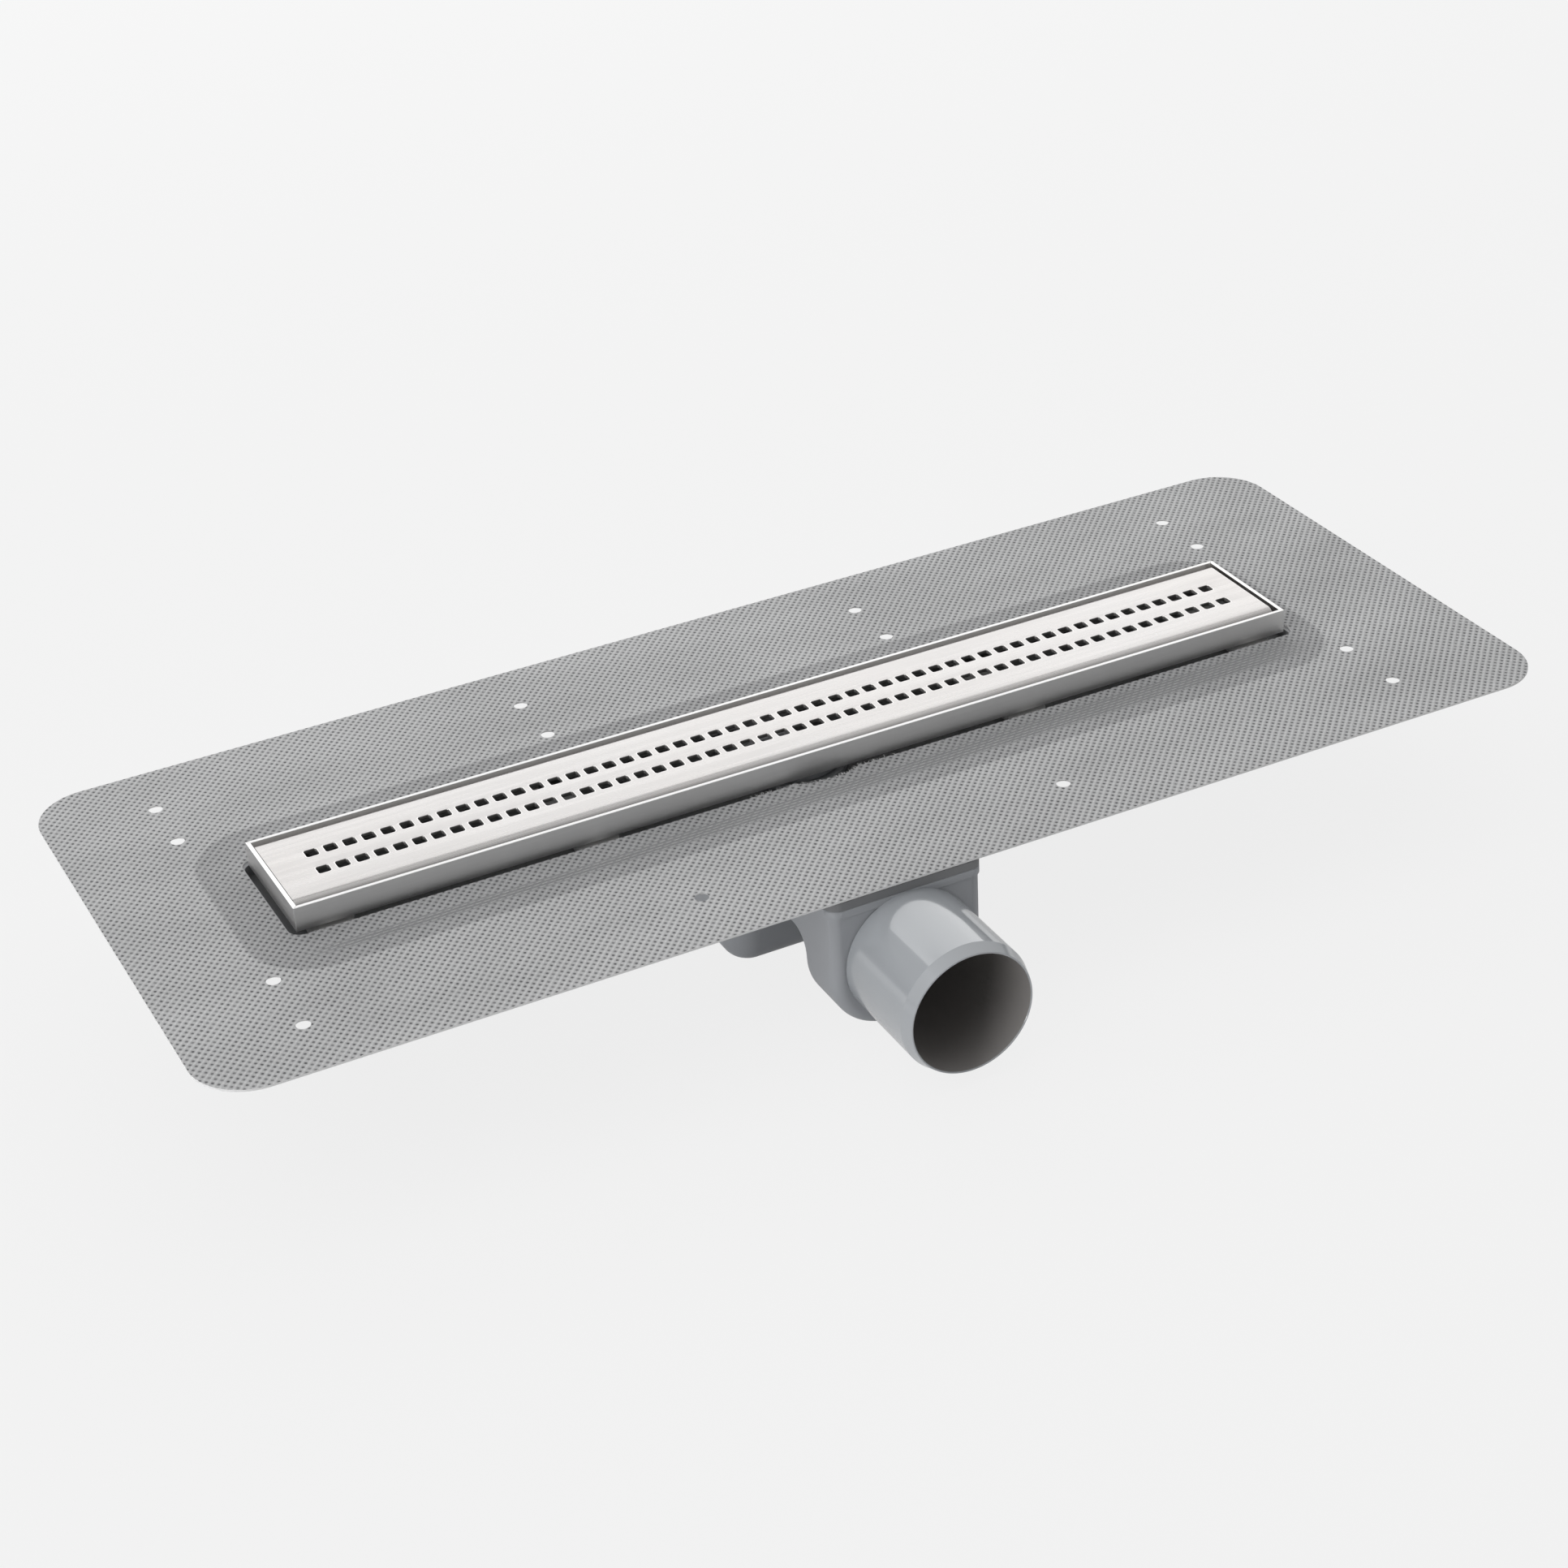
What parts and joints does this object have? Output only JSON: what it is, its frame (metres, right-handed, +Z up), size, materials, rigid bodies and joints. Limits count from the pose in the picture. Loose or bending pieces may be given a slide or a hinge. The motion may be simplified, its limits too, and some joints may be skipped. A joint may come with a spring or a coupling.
{
  "type": "linear shower drain",
  "caption": "Linear shower drain: a perforated steel grate in a levelling frame, set in a channel with a sealing membrane flange and a low trap with a side outlet spigot.",
  "frame": {"origin": "on the vertical axis of the floor inlet, at the flat underside of the trap bowl", "axes": "+X along the channel, +Z up out of the floor, outlet spigot towards -Y"},
  "size_m": [0.526, 0.2545, 0.0687],
  "materials": {
    "membrane": "embossed fleece with a fine dotted lattice",
    "shell": "moulded, fine satin",
    "housing": "moulded, fine satin",
    "pipe": "smooth extruded plastic",
    "insert": "moulded",
    "strainer": "moulded",
    "steel": "brushed along the length",
    "screw": "plain turned",
    "feet": "moulded",
    "rubber": "moulded"
  },
  "bodies": {
    "root": {"sealing_membrane": "membrane", "channel_body": "shell", "trap_housing": "housing", "outlet_pipe": "pipe", "trap_insert": "insert", "trap_seal": "rubber", "trap_bail": "insert", "hair_strainer": "strainer", "frame_front_rail": "steel", "frame_back_rail": "steel", "frame_left_end": "steel", "frame_right_end": "steel", "frame_tabs": "steel", "levelling_screws": "screw", "frame_feet": "feet", "grate": "steel", "grate_spacers": "steel", "grate_pads": "rubber"}
  },
  "joints": []
}
